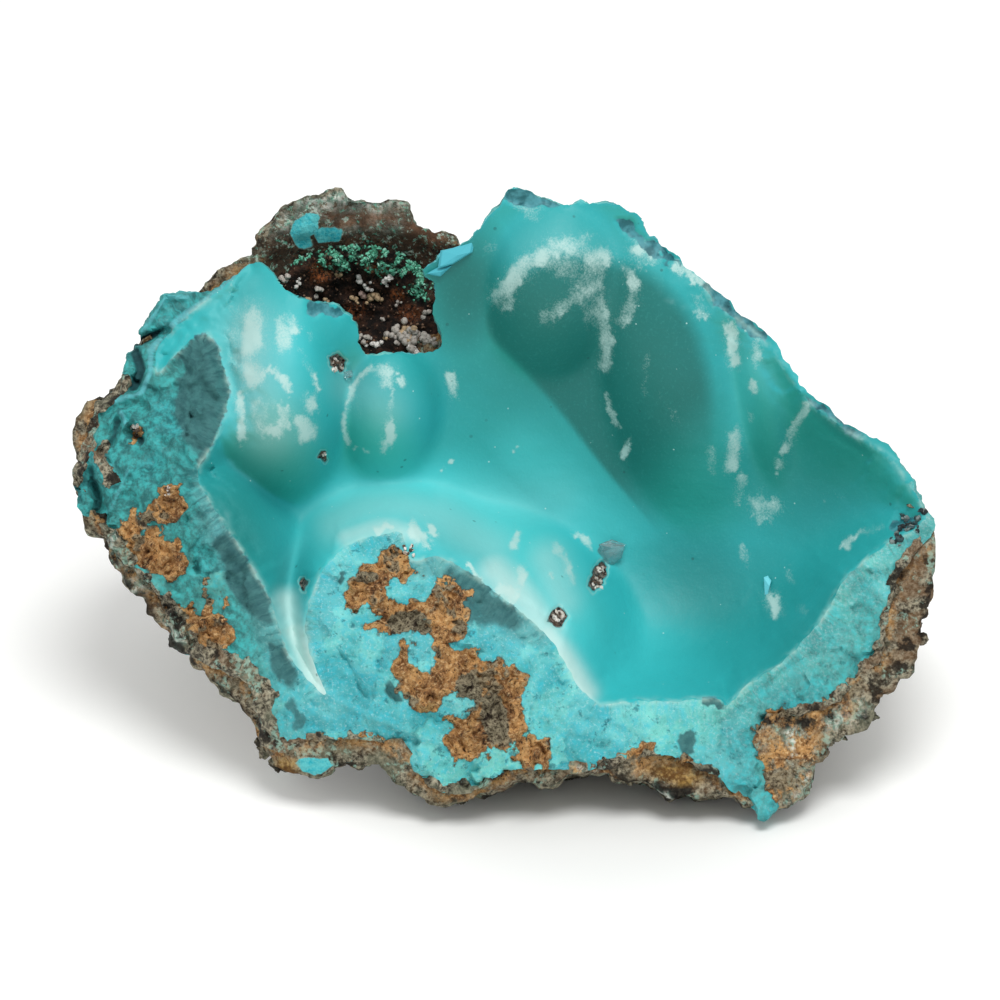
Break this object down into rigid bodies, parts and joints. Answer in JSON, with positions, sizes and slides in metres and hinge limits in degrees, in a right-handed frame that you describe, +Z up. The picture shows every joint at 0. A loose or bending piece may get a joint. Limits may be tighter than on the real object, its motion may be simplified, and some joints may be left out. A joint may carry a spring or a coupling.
{
  "type": "rosasite specimen",
  "caption": "Broken-open hollow lined with smooth, lobed blue-green rosasite under a thick fibrous rim, on a base of brown gossan whose knob holds its own druse hollow.",
  "frame": {"origin": "middle of the footprint, on the surface it rests on", "axes": "+X to the right along the stone's width, +Y away from the broken face, +Z up"},
  "size_m": [0.0998, 0.066, 0.0607],
  "materials": {
    "rosasite": "satin",
    "gossan": "matte",
    "druse": "matte"
  },
  "bodies": {
    "root": {"rosasite_crust": "rosasite", "gossan_matrix": "gossan", "druse_crust": "druse"}
  },
  "joints": []
}
